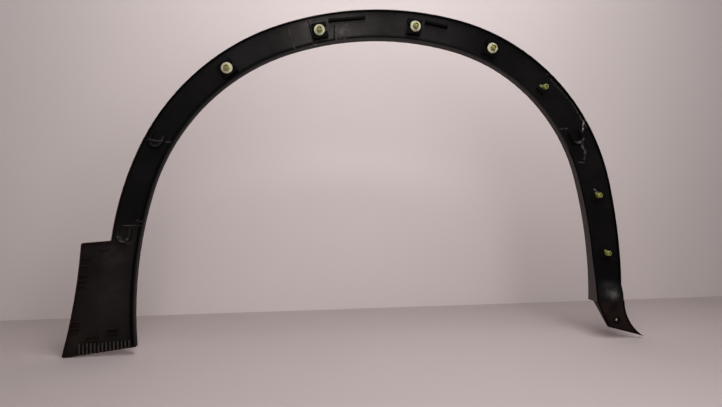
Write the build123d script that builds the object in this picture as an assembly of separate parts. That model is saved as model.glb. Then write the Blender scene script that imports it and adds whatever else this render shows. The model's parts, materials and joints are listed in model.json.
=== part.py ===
"""Wheel arch trim for the front wing of a car, seen and built from its clip side.

One black moulding follows the wheel opening. It has a low rim that lies on the wing, a face that
flares from the rim to the wheel opening, a return lip round the opening, a flap that runs down to
the sill and a foot that is jogged towards the car, so that it tucks in behind the bumper. Push-in
clips stand in square seats on the back of the face, and the seats without a clip are round.

Frame: millimetres, +Z up, +X towards the foot, -Y towards the car. The arch is drawn round the
middle of the opening and is then moved so that the origin is in the middle of the datum clip's pin.
"""
import math
import os

from build123d import *

# Section of the band: distances in from the edge of the wheel opening, depths from the lip's free edge
WALL = 2.8
LIP_DEPTH = 16.0
CORNER_RADIUS = 4.0
FACE_DROP = 9.5
MARGIN_START = 54.0
BAND_REACH = 62.0
RIM_WALL = 2.2
RIM_DEPTH = 6.5
SWEEP_MARGIN = 30.0

# Edge of the wheel opening: start at the foot, course, then tangent arcs that turn left
OPENING_START = (406.3, -168.7)
OPENING_COURSE_DEG = 89.5
OPENING_RADII = (789.5, 302.3, 481.1, 340.5, 678.0)
OPENING_TURNS_DEG = (15.4, 61.8, 32.9, 54.5, 22.1)

# Outer rim, drawn the same way up to the top of the flap
RIM_START = (460.4, -120.4)
RIM_COURSE_DEG = 93.0
RIM_RADII = (926.0, 356.0, 534.5, 381.0, 512.5)
RIM_TURNS_DEG = (10.0, 64.5, 32.7, 45.8, 16.5)

# Flap towards the sill
FLAP_TOP = (-431.8, -60.7)
FLAP_BOTTOM = (-460.4, -235.7)
FLAP_HEEL = (-352.0, -222.3)
FLAP_HOLLOW = 4.0
FLAP_CORNER = 3.0
FLAP_ROOT_X = -375.0
FLAP_OVERLAP = 7.0
RIB_WALL = 1.5
RIB_TOP_Y = 0.0
GUSSETS = 14
GUSSET_WALL = 2.4
GUSSET_TOP_Y = -1.0
GUSSET_OUTER_GAP = 26.5
GUSSET_HEEL_GAP = 9.5
GUSSET_OUTER_LENGTH = 18.0
GUSSET_HEEL_LENGTH = 12.0
EDGE_RIB_LENGTH = 13.0
EDGE_RIB_HEIGHTS = (-84.0, -96.0, -110.0, -118.0, -126.0, -181.5, -186.5, -191.5, -197.0)
TOP_RIB_X = (-406.0, -393.0)
TOP_RIB_Z = -71.0
POCKET_SIZE = (17.0, 9.0)
POCKET_WALL = 1.6
POCKETS = ((-386.8, -196.9), (-417.4, -207.4))
POCKET_TILT_DEG = 7.0

# Foot behind the bumper: the jog towards the car, its outline, its own lip and its screw boss
FOOT_SHOULDER = (461.7, -170.0)
FOOT_TIP = (497.8, -231.5)
FOOT_TOE = (432.5, -214.0)
FOOT_FACE_Y = -3.0
JOG_TOP_Z = -108.0
JOG_BOTTOM_Z = -167.0
FOOT_LIP_Y = -15.5
FOOT_LIP_TOE_Y = -7.0
FOOT_RIM_HEIGHT = 2.0
LIP_GROWTH_TOP_Z = 120.0
LIP_GROWTH_KNEE = (-5.0, -100.0)
FOOT_BOSS = (448.0, -202.0)
FOOT_BOSS_RADIUS = 6.0
FOOT_BOSS_HEIGHT = 2.0
FOOT_HOLE_RADIUS = 3.0

# Clip seats: shares of the opening edge's length from the foot, and distance in from that edge
SEALED_SHARES = (0.3422, 0.4341, 0.5431, 0.6522)
BARE_SHARES = (0.0567, 0.1270, 0.2676)
EMPTY_SHARES = (0.1980, 0.7590, 0.8645)
DATUM_SHARE = SEALED_SHARES[1]
MIDDLE_SHARE = 0.5
SEAT_INSET = 32.0
SEAT_INSET_FALL = 16.0
EMPTY_SEAT_INSET = 27.0
SEAL_END_MARGIN = 0.8
SEAL_SIDE_MARGIN = 2.3
SEAL_MOUTH_MARGIN = 3.3
BASE_CLEARANCE = 0.4
BARE_SEAT_MOUTH = 8.5
BARE_SEAT_DROP = 3.0
WORN_SEAT_RADIUS = 10.5
WORN_SEAT_MOUTH = 13.0
SEAT_WALL = 2.0
SEAT_HEIGHT = 0.8
ROOF_WALL = 2.2
WORN_SLOT_RADIUS = 6.5

# Clip and seal
PIN_RADIUS = 4.2
PIN_LENGTH = 6.8
PIN_CHAMFER = 0.8
PIN_SLIT = 0.2
PIN_CORE_RADIUS = 1.6
PIN_CORE_RECESS = 1.2
NECK_WIDTH = 5.6
NECK_CLEARANCE = 0.5
BASE_RADIUS = 5.6
BASE_SIDES = 8
HOLLOW_SIDES = 6
BASE_THICKNESS = 1.8
SEAL_RADIUS = 9.7
SEAL_THICKNESS = 2.4
SEAL_CLEARANCE = 0.2

# Fins along the band: (share of the edge, length, distance in); then low ribs across it
FINS = ((0.5105, 61.0, 35.5), (0.4098, 39.0, 35.0))
FIN_WALL = 3.4
FIN_HIGH_Y = -4.0
FIN_LOW_Y = -1.5
CROSS_SHARES = (0.5252, 0.5747)
CROSS_RIB_HEIGHT = 1.2


def arc_chain(start, course, radii, turns):
    """Tangent arcs, each given by its radius and its turn to the left in degrees."""
    edges, point = [], Vector(*start)
    for radius, turn in zip(radii, turns):
        lean = math.radians(course)
        centre = point + Vector(-math.sin(lean), math.cos(lean)) * radius
        edges.append(CenterArc(centre, radius, course - 90, turn))
        point, course = edges[-1] @ 1, course + turn
    return edges


def slab(sketch, y_low, y_high):
    """A sketch in X and Z, made solid from y_low to y_high."""
    return extrude(Plane.XZ.offset(-y_high) * sketch, amount=y_high - y_low)


def block(x_low, x_high, z_low, z_high, y_low, y_high):
    """A square block by its limits."""
    middle = Pos((x_low + x_high) / 2, (y_low + y_high) / 2, (z_low + z_high) / 2)
    return middle * Box(x_high - x_low, y_high - y_low, z_high - z_low)


def face_slope():
    """Slope of the face in degrees: it touches the corner at the lip and ends at the margin."""
    along, up = MARGIN_START - CORNER_RADIUS, CORNER_RADIUS - FACE_DROP
    return math.degrees(math.asin(CORNER_RADIUS / math.hypot(along, up)) - math.atan2(up, along))


def margin_depth():
    """Depth of the outboard face of the margin and of the flap."""
    return LIP_DEPTH - FACE_DROP


def band_skin():
    """The outboard outline of the band from lip to rim: lip, round corner, face and margin."""
    knee = (MARGIN_START, margin_depth())
    corner = CenterArc((CORNER_RADIUS, LIP_DEPTH - CORNER_RADIUS), CORNER_RADIUS, 180, -90 - face_slope())
    return [
        Line((0, 0), (0, LIP_DEPTH - CORNER_RADIUS)),
        corner,
        Line(corner @ 1, knee),
        Line(knee, (BAND_REACH, margin_depth())),
    ]


def band_back(inset):
    """The same outline set in by an amount, with a plain corner between lip and face."""
    slope = math.radians(face_slope())
    knee_x, depth = MARGIN_START - inset * math.tan(slope / 2), margin_depth() - inset
    corner = (inset, depth + (knee_x - inset) * math.tan(slope))
    return Polyline((inset, 0), corner, (knee_x, depth), (BAND_REACH, depth)).edges()


def opening_arcs():
    """The arcs of the wheel opening's edge, in the plane of the arch."""
    arcs = arc_chain(OPENING_START, OPENING_COURSE_DEG, OPENING_RADII, OPENING_TURNS_DEG)
    return [Plane.XZ * arc for arc in arcs]


def opening_path():
    """The edge of the wheel opening as one wire."""
    return Wire(opening_arcs())


def section_plane(path):
    """Plane square to the path at its start: first axis away from the opening, second outboard."""
    ahead = path.tangent_at(0)
    return Plane(origin=path.position_at(0), x_dir=ahead.cross(Vector(0, -1, 0)), z_dir=ahead)


def swept_layer(path, front, back):
    """A layer along the band between two of its outlines."""
    ends = [Line(front[0] @ 0, back[0] @ 0), Line(front[-1] @ 1, back[-1] @ 1)]
    return sweep(section_plane(path) * make_face(front + back + ends), path=path)


def swept_core(path):
    """Everything behind the middle of the band's wall; it keeps ribs and seats inside the skin."""
    face = list(band_back(WALL / 2))
    low, high = face[0] @ 0, face[-1] @ 1
    edges = face + [
        Line(low, (low.X, -SWEEP_MARGIN)),
        Line((low.X, -SWEEP_MARGIN), (high.X, -SWEEP_MARGIN)),
        Line((high.X, -SWEEP_MARGIN), high),
    ]
    return sweep(section_plane(path) * make_face(edges), path=path)


def swept_room(path):
    """The room beside the opening that belongs to the band and not to the flap."""
    reach = BAND_REACH - FLAP_OVERLAP
    section = Pos(reach / 2, 0) * Rectangle(reach, 2 * SWEEP_MARGIN)
    return sweep(section_plane(path) * section, path=path)


def outline():
    """Outer outline of the trim, closed straight across the wheel opening."""
    rim = arc_chain(RIM_START, RIM_COURSE_DEG, RIM_RADII, RIM_TURNS_DEG)
    hollow = ((FLAP_TOP[0] + FLAP_BOTTOM[0]) / 2 + FLAP_HOLLOW, (FLAP_TOP[1] + FLAP_BOTTOM[1]) / 2)
    leg = Line(RIM_START, FOOT_SHOULDER)
    edges = rim + [
        Line(rim[-1] @ 1, FLAP_TOP),
        ThreePointArc(FLAP_TOP, hollow, FLAP_BOTTOM),
        Line(FLAP_BOTTOM, FLAP_HEEL),
        Line(FLAP_HEEL, FOOT_TOE),
        Line(FOOT_TOE, FOOT_TIP),
        leg,
        TangentArc(FOOT_SHOULDER, FOOT_TIP, tangent=leg % 1),
    ]
    face = make_face(edges)
    rounded = [min(face.vertices(), key=lambda v: (Vector(v) - Vector(*p)).length)
               for p in (FLAP_TOP, FLAP_BOTTOM)]
    return fillet(rounded, FLAP_CORNER)


def rim_wall(ring):
    """Low wall round the outline, left off along the wheel opening and the foot."""
    wall = slab(ring, margin_depth() - RIM_DEPTH, margin_depth() - WALL / 2)
    opening = block(FLAP_HEEL[0] - WALL, FOOT_TIP[0] + SWEEP_MARGIN, FLAP_BOTTOM[1] - SWEEP_MARGIN,
                    OPENING_START[1], -SWEEP_MARGIN, SWEEP_MARGIN)
    return wall - opening


def flap_layer(prism, room, y_low, y_high):
    """The part of the flap beyond the band, between two depths."""
    top = FLAP_TOP[1] + SWEEP_MARGIN
    return (prism & block(FLAP_BOTTOM[0] - SWEEP_MARGIN, FLAP_ROOT_X, FLAP_BOTTOM[1] - SWEEP_MARGIN, top,
                          y_low, y_high)) - room


def jog_line(inset):
    """Section of the jog and the foot in depth and height: two equal arcs, then straight down."""
    deep, shallow = LIP_DEPTH - WALL / 2, FOOT_FACE_Y - WALL / 2
    height = JOG_TOP_Z - JOG_BOTTOM_Z
    turn = 2 * math.atan((deep - shallow) / height)
    bend, degrees = height / 2 / math.sin(turn), math.degrees(turn)
    low = FOOT_TIP[1] - SWEEP_MARGIN
    return [
        CenterArc((deep - bend, JOG_TOP_Z), bend + inset, 0, -degrees),
        CenterArc((shallow + bend, JOG_BOTTOM_Z), bend - inset, 180 - degrees, degrees),
        Line((shallow + inset, JOG_BOTTOM_Z), (shallow + inset, low)),
    ]


def foot_area():
    """The area of the foot below the end of the band, open towards its outer edge and its tip."""
    far, low = FOOT_TIP[0] + SWEEP_MARGIN, FOOT_TIP[1] - SWEEP_MARGIN
    return make_face(Polyline(OPENING_START, (far, OPENING_START[1]), (far, low), (FOOT_TOE[0], low),
                              FOOT_TOE, close=True))


def foot_plate(shape, ring, core):
    """The foot: a sheet that leaves the back of the band by a jog, with a low rim round its tip."""
    front, back = jog_line(WALL / 2), jog_line(-WALL / 2)
    strip = make_face(front + back + [Line(front[0] @ 0, back[0] @ 0), Line(front[-1] @ 1, back[-1] @ 1)])
    sheet = extrude(Plane.YZ * strip, amount=FOOT_TIP[0] + SWEEP_MARGIN)
    back_y = FOOT_FACE_Y - WALL
    rim = slab(ring & foot_area(), back_y - FOOT_RIM_HEIGHT, back_y + WALL / 2)
    return [sheet & core, sheet & slab(shape & foot_area(), -SWEEP_MARGIN, SWEEP_MARGIN), rim]


def grown_lip():
    """The lip down the front leg, which grows towards the car to meet the lip of the foot."""
    leg = Wire(opening_arcs()[:2])
    section = Pos(WALL / 2, (FOOT_LIP_Y + WALL) / 2) * Rectangle(WALL, WALL - FOOT_LIP_Y)
    wall = sweep(section_plane(leg) * section, path=leg)
    end = OPENING_START[1]
    side = make_face(Polyline((WALL, LIP_GROWTH_TOP_Z), (0, LIP_GROWTH_TOP_Z), LIP_GROWTH_KNEE,
                              (FOOT_LIP_Y, end), (FOOT_LIP_Y, end - WALL), (WALL, end - WALL), close=True))
    return wall & extrude(Plane.YZ * side, amount=OPENING_START[0] + SWEEP_MARGIN)


def foot_lip():
    """The lip of the foot, which runs out towards the toe."""
    start = Vector(OPENING_START[0], 0, OPENING_START[1])
    along = Vector(FOOT_TOE[0], 0, FOOT_TOE[1]) - start
    plane = Plane(origin=start, x_dir=along, z_dir=along.cross(Vector(0, 1, 0)))
    side = make_face(Polyline((0, FOOT_LIP_Y), (along.length, FOOT_LIP_TOE_Y), (along.length, FOOT_FACE_Y),
                              (0, FOOT_FACE_Y), close=True))
    return extrude(plane * side, amount=WALL)


def foot_boss():
    """Screw boss on the foot, from the middle of its wall towards the car."""
    back = FOOT_FACE_Y - WALL
    return slab(Pos(*FOOT_BOSS) * Circle(FOOT_BOSS_RADIUS), back - FOOT_BOSS_HEIGHT, back + WALL / 2)


def foot_hole():
    """The screw hole through the boss and the foot."""
    return slab(Pos(*FOOT_BOSS) * Circle(FOOT_HOLE_RADIUS), -SWEEP_MARGIN, SWEEP_MARGIN)


def band_plane(path, share, inset):
    """Plane on the band at a share of its edge: first axis along the band, third towards the car."""
    ahead = path.tangent_at(share)
    away = ahead.cross(Vector(0, -1, 0))
    return Plane(origin=path.position_at(share) + away * inset, x_dir=ahead, z_dir=(0, -1, 0))


def seat_plane(path, share):
    """Plane of a clip seat, with its first axis towards the top of the arch; bare seats are lower."""
    inset = EMPTY_SEAT_INSET if share in EMPTY_SHARES else SEAT_INSET - SEAT_INSET_FALL * share
    plane = band_plane(path, share, inset)
    upward = plane.x_dir if share < MIDDLE_SHARE else plane.x_dir * -1
    drop = BARE_SEAT_DROP if share in BARE_SHARES else 0
    return Plane(origin=plane.origin - plane.z_dir * drop, x_dir=upward, z_dir=plane.z_dir)


def upright(sketch, low, high):
    """A sketch made solid between two heights above its own plane."""
    return extrude(Pos(0, 0, low) * sketch, amount=high - low)


def tongue(radius, mouth):
    """A round end with straight sides that run out to the mouth."""
    return Circle(radius) + Pos(mouth / 2, 0) * Rectangle(mouth, 2 * radius)


def stall(length, width, mouth):
    """A square end with straight sides that run out to the mouth."""
    return Pos(mouth - length / 2, 0) * Rectangle(length, width)


def tower(plan, room, slot):
    """A tower over a plan, with a room under its roof and a slot through the roof."""
    shell = upright(plan, -SWEEP_MARGIN, SEAT_HEIGHT)
    shell -= upright(room, -SWEEP_MARGIN, SEAT_HEIGHT - ROOF_WALL)
    return shell - upright(slot, -SWEEP_MARGIN, SEAT_HEIGHT + ROOF_WALL)


def clip_seat(end, side, mouth):
    """A square seat by its distances from the clip, with a slot for the neck of the clip."""
    length, width = end + mouth, 2 * side
    way_in, opening = mouth + SEAT_WALL, NECK_WIDTH + 2 * NECK_CLEARANCE
    return tower(stall(length, width, mouth), stall(length, width - 2 * SEAT_WALL, way_in),
                 stall(way_in + opening / 2, opening, way_in))


def sealed_seat():
    """The seat under a sealing disc, with a margin all round the disc."""
    return clip_seat(SEAL_RADIUS + SEAL_END_MARGIN, SEAL_RADIUS + SEAL_SIDE_MARGIN,
                     SEAL_RADIUS + SEAL_MOUTH_MARGIN)


def bare_seat():
    """The smaller seat of a clip without a disc, as wide as the clip's base needs."""
    half = BASE_RADIUS + BASE_CLEARANCE + SEAT_WALL
    return clip_seat(half, half, BARE_SEAT_MOUTH)


def worn_seat():
    """A round seat with a wide slot, which has no clip."""
    way_in = WORN_SEAT_MOUTH + SEAT_WALL
    return tower(tongue(WORN_SEAT_RADIUS, WORN_SEAT_MOUTH), tongue(WORN_SEAT_RADIUS - SEAT_WALL, way_in),
                 tongue(WORN_SLOT_RADIUS, way_in))


def pin_start():
    """Height of the shoulder under a clip's pin, just clear of the seal."""
    return SEAT_HEIGHT + SEAL_THICKNESS + SEAL_CLEARANCE


def push_clip():
    """A clip: eight-sided base under the roof, square neck, and a hollow pin with a core inside.

    Two corners of the hollow reach past the neck, which leaves a narrow slit on each side of it.
    """
    under = SEAT_HEIGHT - ROOF_WALL
    shoulder, tip = pin_start(), pin_start() + PIN_LENGTH + PIN_CHAMFER
    base = upright(RegularPolygon(BASE_RADIUS, BASE_SIDES), under - BASE_THICKNESS, under)
    neck = upright(Rectangle(NECK_WIDTH, NECK_WIDTH), under, shoulder)
    pin = upright(Circle(PIN_RADIUS), shoulder, tip)
    pin = chamfer(pin.edges().group_by(Axis.Z)[-1], PIN_CHAMFER)
    hollow = upright(RegularPolygon(NECK_WIDTH / 2 + PIN_SLIT, HOLLOW_SIDES), shoulder, tip)
    core = upright(RegularPolygon(PIN_CORE_RADIUS, HOLLOW_SIDES), shoulder, tip - PIN_CORE_RECESS)
    return base + neck + (pin - hollow) + core


def clip_seal():
    """Soft sealing disc round a clip's neck, lying on the seat."""
    hole = NECK_WIDTH + 2 * SEAL_CLEARANCE
    return upright(Circle(SEAL_RADIUS) - Rectangle(hole, hole), SEAT_HEIGHT, SEAT_HEIGHT + SEAL_THICKNESS)


def gussets():
    """Gussets along the foot of the flap, evenly spaced between two gaps and shorter at the heel."""
    low, heel = Vector(*FLAP_BOTTOM), Vector(*FLAP_HEEL)
    along = (heel - low).normalized()
    span = (heel - low).length - GUSSET_OUTER_GAP - GUSSET_HEEL_GAP
    ribs = []
    for i in range(GUSSETS):
        share = i / (GUSSETS - 1)
        root = low + along * (GUSSET_OUTER_GAP + span * share)
        length = GUSSET_OUTER_LENGTH + (GUSSET_HEEL_LENGTH - GUSSET_OUTER_LENGTH) * share
        ribs.append(block(root.X - GUSSET_WALL / 2, root.X + GUSSET_WALL / 2, root.Y + RIM_WALL / 2,
                          root.Y + length, GUSSET_TOP_Y, SWEEP_MARGIN))
    return ribs


def flap_ribs():
    """Ribs on the outer edge of the flap, one near its top and two pocket frames."""
    top, low = Vector(*FLAP_TOP), Vector(*FLAP_BOTTOM)
    half, ribs = RIB_WALL / 2, []
    for z in EDGE_RIB_HEIGHTS:
        edge = top + (low - top) * ((top.Y - z) / (top.Y - low.Y)) + Vector(FLAP_HOLLOW, 0)
        ribs.append(block(edge.X - RIM_WALL / 2, edge.X + EDGE_RIB_LENGTH, z - half, z + half,
                          RIB_TOP_Y, SWEEP_MARGIN))
    ribs.append(block(*TOP_RIB_X, TOP_RIB_Z - half, TOP_RIB_Z + half, RIB_TOP_Y, SWEEP_MARGIN))
    length, width = POCKET_SIZE
    frame = Rectangle(length, width) - Rectangle(length - 2 * POCKET_WALL, width - 2 * POCKET_WALL)
    for x, z in POCKETS:
        ribs.append(slab(Pos(x, z) * Rot(0, 0, POCKET_TILT_DEG) * frame, RIB_TOP_Y, SWEEP_MARGIN))
    return ribs


def fins(path):
    """Fins along the back of the band, high at one end and low at the other."""
    parts = []
    for share, length, inset in FINS:
        plane = band_plane(path, share, inset)
        side = make_face(Polyline((-length / 2, -SWEEP_MARGIN), (length / 2, -SWEEP_MARGIN),
                                  (length / 2, -FIN_HIGH_Y), (-length / 2, -FIN_LOW_Y), close=True))
        upright_side = Plane(origin=(0, FIN_WALL / 2, 0), x_dir=(1, 0, 0), z_dir=(0, -1, 0))
        parts.append(plane * extrude(upright_side * side, amount=FIN_WALL))
    return parts


def cross_ribs(path, prism):
    """Low ribs across the band that follow its back."""
    layer = swept_layer(path, band_back(WALL / 2), band_back(WALL + CROSS_RIB_HEIGHT)) & prism
    strip = upright(Rectangle(RIB_WALL, 2 * BAND_REACH), -SWEEP_MARGIN, SWEEP_MARGIN)
    return [layer & (band_plane(path, share, BAND_REACH) * strip) for share in CROSS_SHARES]


def moulding(path):
    """The whole moulding as one solid."""
    shape = outline()
    ring = shape - offset(shape, -RIM_WALL)
    prism = slab(shape, -SWEEP_MARGIN, SWEEP_MARGIN)
    room = swept_room(path)
    core = swept_core(path) & prism
    front = margin_depth()
    inside = core + flap_layer(prism, room, -SWEEP_MARGIN, front - WALL / 2)
    kinds = [
        (SEALED_SHARES, sealed_seat()),
        (BARE_SHARES, bare_seat()),
        (EMPTY_SHARES, worn_seat()),
    ]
    seats = [seat_plane(path, share) * seat for shares, seat in kinds for share in shares]
    inner = [piece & core for piece in seats + fins(path)]
    inner += [rib & inside for rib in gussets() + flap_ribs()]
    body = swept_layer(path, band_skin(), band_back(WALL)) & prism
    body = body + rim_wall(ring) + flap_layer(prism, room, front - WALL, front)
    body = body + foot_plate(shape, ring, core) + [grown_lip(), foot_lip(), foot_boss()]
    body = body + inner + cross_ribs(path, prism)
    return body - foot_hole()


def main():
    """Build every node, move it to the datum clip and write it."""
    path = opening_path()
    datum = seat_plane(path, DATUM_SHARE).from_local_coords(Vector(0, 0, pin_start() + PIN_LENGTH / 2))
    home = Pos(*(datum * -1))
    clips = SEALED_SHARES + BARE_SHARES
    nodes = {
        "arch_moulding": moulding(path),
        "push_clips": Compound([seat_plane(path, share) * push_clip() for share in clips]),
        "clip_seals": Compound([seat_plane(path, share) * clip_seal() for share in SEALED_SHARES]),
    }
    os.makedirs("parts", exist_ok=True)
    for name, shape in nodes.items():
        export_step(home * shape, f"parts/{name}.step")


if __name__ == "__main__":
    main()
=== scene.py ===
"""A used wheel arch trim, seen from its clip side on a pale floor in front of a pale wall.

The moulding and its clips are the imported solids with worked-out finishes. The soft sealing discs and
the spring barbs of the clips are surfaces computed here. Lengths are metres in the frame of the part:
+X towards the bumper foot, +Y outboard, +Z up, origin in the pin of the datum clip.
"""
import json
import logging
import math
from collections.abc import Iterable
from dataclasses import dataclass
from enum import Enum
from functools import reduce
from typing import Optional, Union

import bpy
import numpy as np
from mathutils import Matrix, Vector


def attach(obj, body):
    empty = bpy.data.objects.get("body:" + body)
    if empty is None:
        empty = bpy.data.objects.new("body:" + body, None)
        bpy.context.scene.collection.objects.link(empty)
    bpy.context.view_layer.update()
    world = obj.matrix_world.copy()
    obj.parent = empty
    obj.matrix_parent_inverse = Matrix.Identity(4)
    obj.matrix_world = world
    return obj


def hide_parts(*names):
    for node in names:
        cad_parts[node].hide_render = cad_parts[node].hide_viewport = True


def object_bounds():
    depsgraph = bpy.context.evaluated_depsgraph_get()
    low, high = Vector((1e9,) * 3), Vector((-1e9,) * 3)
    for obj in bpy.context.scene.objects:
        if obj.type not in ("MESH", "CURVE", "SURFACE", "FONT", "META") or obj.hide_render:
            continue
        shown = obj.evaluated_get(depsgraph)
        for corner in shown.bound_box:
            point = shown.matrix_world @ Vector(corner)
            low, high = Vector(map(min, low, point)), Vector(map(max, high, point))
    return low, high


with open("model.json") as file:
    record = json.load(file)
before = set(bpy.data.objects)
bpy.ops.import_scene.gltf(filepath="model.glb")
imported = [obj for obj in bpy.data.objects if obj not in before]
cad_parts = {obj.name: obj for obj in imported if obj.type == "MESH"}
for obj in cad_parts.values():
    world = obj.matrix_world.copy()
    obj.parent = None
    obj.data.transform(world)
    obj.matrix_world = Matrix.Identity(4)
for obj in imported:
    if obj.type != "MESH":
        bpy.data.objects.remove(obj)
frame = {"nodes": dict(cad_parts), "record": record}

CAD_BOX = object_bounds()
LOG = logging.getLogger("arch_trim")
Colour = tuple[float, float, float]
Point = tuple[float, float, float]
Span = tuple[float, float]
Socket = bpy.types.NodeSocket
Value = Union[float, Socket]
Tone = Union[Colour, Socket]

# Middle of the wheel opening, X and Z.
ARCH_MIDDLE: Span = (-0.09, -0.39)
# Keeps X and Z of a point and drops its depth.
IN_PLANE: Point = (1.0, 0.0, 1.0)


class SeatState(Enum):
    """What a clip seat on the band still holds."""

    SEALED = "clip with its sealing disc"
    BARE = "clip that has lost its disc"


class MarkTone(Enum):
    """How a line on the black plastic reads."""

    PALE = "scratch or dusty streak"
    CHALK = "white scrape"
    DARK = "open crack or shadow line"


class Slot(Enum):
    """Material slots of the record that new pieces take."""

    CLIP = "clip"
    SEAL = "seal"


def grid_mesh(name: str, points: np.ndarray, faces: np.ndarray, smooth: bool = True) -> bpy.types.Object:
    """Puts computed points and four-sided faces into a new object at the origin.

    Args:
        name: Name of the new object.
        points: Array of N points by 3 coordinates.
        faces: Array of M faces by 4 point numbers, turning outwards.
        smooth: Whether the faces are shaded smooth.

    Returns:
        The linked object.
    """
    mesh = bpy.data.meshes.new(name)
    mesh.from_pydata(points.reshape(-1, 3).tolist(), [], faces.tolist())
    mesh.polygons.foreach_set("use_smooth", np.full(len(mesh.polygons), smooth))
    mesh.update()
    piece = bpy.data.objects.new(name, mesh)
    bpy.context.scene.collection.objects.link(piece)
    return piece


def grid_faces(rows: int, columns: int, closed: bool) -> np.ndarray:
    """Four-sided faces between neighbouring points of a grid.

    Args:
        rows: Points along the first parameter.
        columns: Points along the second parameter.
        closed: Whether the grid closes on itself along both parameters.

    Returns:
        Array of faces by 4 point numbers.
    """
    open_end = 0 if closed else 1
    a, b = np.meshgrid(np.arange(rows - open_end), np.arange(columns - open_end), indexing="ij")
    a2, b2 = (a + 1) % rows, (b + 1) % columns
    corners = [a * columns + b, a * columns + b2, a2 * columns + b2, a2 * columns + b]
    return np.stack(corners, -1).reshape(-1, 4)


def copied_faces(one: np.ndarray, copies: int, points: int) -> np.ndarray:
    """Faces of several like grids whose points follow each other.

    Args:
        one: Faces of the first grid.
        copies: How many grids there are.
        points: Points in each grid.

    Returns:
        Array of faces by 4 point numbers.
    """
    first_points = np.arange(copies)[:, None, None] * points
    return (one[None] + first_points).reshape(-1, 4)


def aimed(place: Vector, look: Vector) -> Matrix:
    """The transform of a lamp or camera that stands at a place and looks along a direction."""
    return Matrix.Translation(place) @ look.to_track_quat("-Z", "Y").to_matrix().to_4x4()


class Nodes:
    """A small helper that adds and joins shader nodes in one tree."""

    def __init__(self, tree: bpy.types.NodeTree) -> None:
        """Keeps the tree that new nodes go into."""
        self.tree = tree

    def feed(self, node: bpy.types.Node, inputs: dict) -> bpy.types.Node:
        """Sets or links the inputs of a node.

        Args:
            node: The node.
            inputs: Socket name or number to a value or to an output socket.

        Returns:
            The same node.
        """
        for key, value in inputs.items():
            if isinstance(value, Socket):
                self.tree.links.new(value, node.inputs[key])
            else:
                node.inputs[key].default_value = value
        return node

    def add(self, kind: str, inputs: Optional[dict] = None, **settings: object) -> bpy.types.Node:
        """Adds a node, sets its properties and then its inputs.

        Args:
            kind: Blender's name of the node type.
            inputs: Socket name or number to a value or to an output socket.
            **settings: Properties of the node.

        Returns:
            The new node.
        """
        node = self.tree.nodes.new(kind)
        for key, value in settings.items():
            setattr(node, key, value)
        return self.feed(node, inputs or {})

    def group(self, tree: bpy.types.NodeTree, inputs: dict) -> bpy.types.bpy_prop_collection:
        """Places a shared node group with its own values and gives its outputs."""
        return self.add("ShaderNodeGroup", inputs, node_tree=tree).outputs

    def math(self, operation: str, a: Value, b: Value = 0.0, clamp: bool = False) -> Socket:
        """One arithmetic step on two values or sockets."""
        return self.add("ShaderNodeMath", {0: a, 1: b}, operation=operation, use_clamp=clamp).outputs[0]

    def times(self, *factors: Value) -> Socket:
        """The product of values or sockets."""
        return reduce(lambda a, b: self.math("MULTIPLY", a, b), factors)

    def plus(self, *terms: Value) -> Socket:
        """The sum of values or sockets."""
        return reduce(lambda a, b: self.math("ADD", a, b), terms)

    def strongest(self, masks: Iterable[Socket]) -> Socket:
        """The largest of several masks at each point."""
        return reduce(lambda a, b: self.math("MAXIMUM", a, b), masks)

    def inverse(self, mask: Socket) -> Socket:
        """1 where the mask is 0, and 0 where it is 1."""
        return self.math("SUBTRACT", 1.0, mask)

    def vector(self, operation: str, a: Union[Point, Socket], b: Union[Point, Socket]) -> Socket:
        """One step on two vectors; distances and products come out as a value."""
        node = self.add("ShaderNodeVectorMath", {0: a, 1: b}, operation=operation)
        return node.outputs["Value" if operation in ("DISTANCE", "DOT_PRODUCT") else "Vector"]

    def scaled(self, vector: Socket, scale: Value) -> Socket:
        """A vector times a value."""
        return self.add("ShaderNodeVectorMath", {0: vector, "Scale": scale}, operation="SCALE").outputs[0]

    def split(self, vector: Socket) -> bpy.types.bpy_prop_collection:
        """X, Y and Z of a vector."""
        return self.add("ShaderNodeSeparateXYZ", {0: vector}).outputs

    def ramp(self, value: Socket, low: Value, high: Value) -> Socket:
        """A smooth step from 0 at low to 1 at high."""
        inputs = {"Value": value, "From Min": low, "From Max": high}
        return self.add("ShaderNodeMapRange", inputs, interpolation_type="SMOOTHSTEP").outputs["Result"]

    def mix(self, factor: Value, a: Tone, b: Tone) -> Socket:
        """A colour between two others.

        Args:
            factor: 0 for the first colour and 1 for the second.
            a: First colour.
            b: Second colour.

        Returns:
            The mixed colour.
        """
        first, second = (tone if isinstance(tone, Socket) else (*tone, 1.0) for tone in (a, b))
        return self.add("ShaderNodeMix", {"Factor": factor, 6: first, 7: second}, data_type="RGBA").outputs[2]

    def layered(self, ground: Tone, layers: Iterable[tuple[Socket, Tone]]) -> Socket:
        """Lays tones over a ground one after the other, each through its own mask."""
        return reduce(lambda colour, layer: self.mix(layer[0], colour, layer[1]), layers, ground)

    def noise(self, vector: Socket, scale: Value, detail: Value = 3.0, roughness: float = 0.5) -> Socket:
        """Cloud noise on a vector."""
        inputs = {"Vector": vector, "Scale": scale, "Detail": detail, "Roughness": roughness}
        return self.add("ShaderNodeTexNoise", inputs).outputs["Fac"]

    def stretched(self, vector: Socket, scale: Point, turn: float) -> Socket:
        """A vector turned about Y and stretched along its axes."""
        inputs = {"Vector": vector, "Scale": scale, "Rotation": (0.0, turn, 0.0)}
        return self.add("ShaderNodeMapping", inputs).outputs[0]

    def bump(self, height: Socket, strength: float, distance: float) -> Socket:
        """A normal that follows a height."""
        inputs = {"Height": height, "Strength": strength, "Distance": distance}
        return self.add("ShaderNodeBump", inputs).outputs[0]


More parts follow.
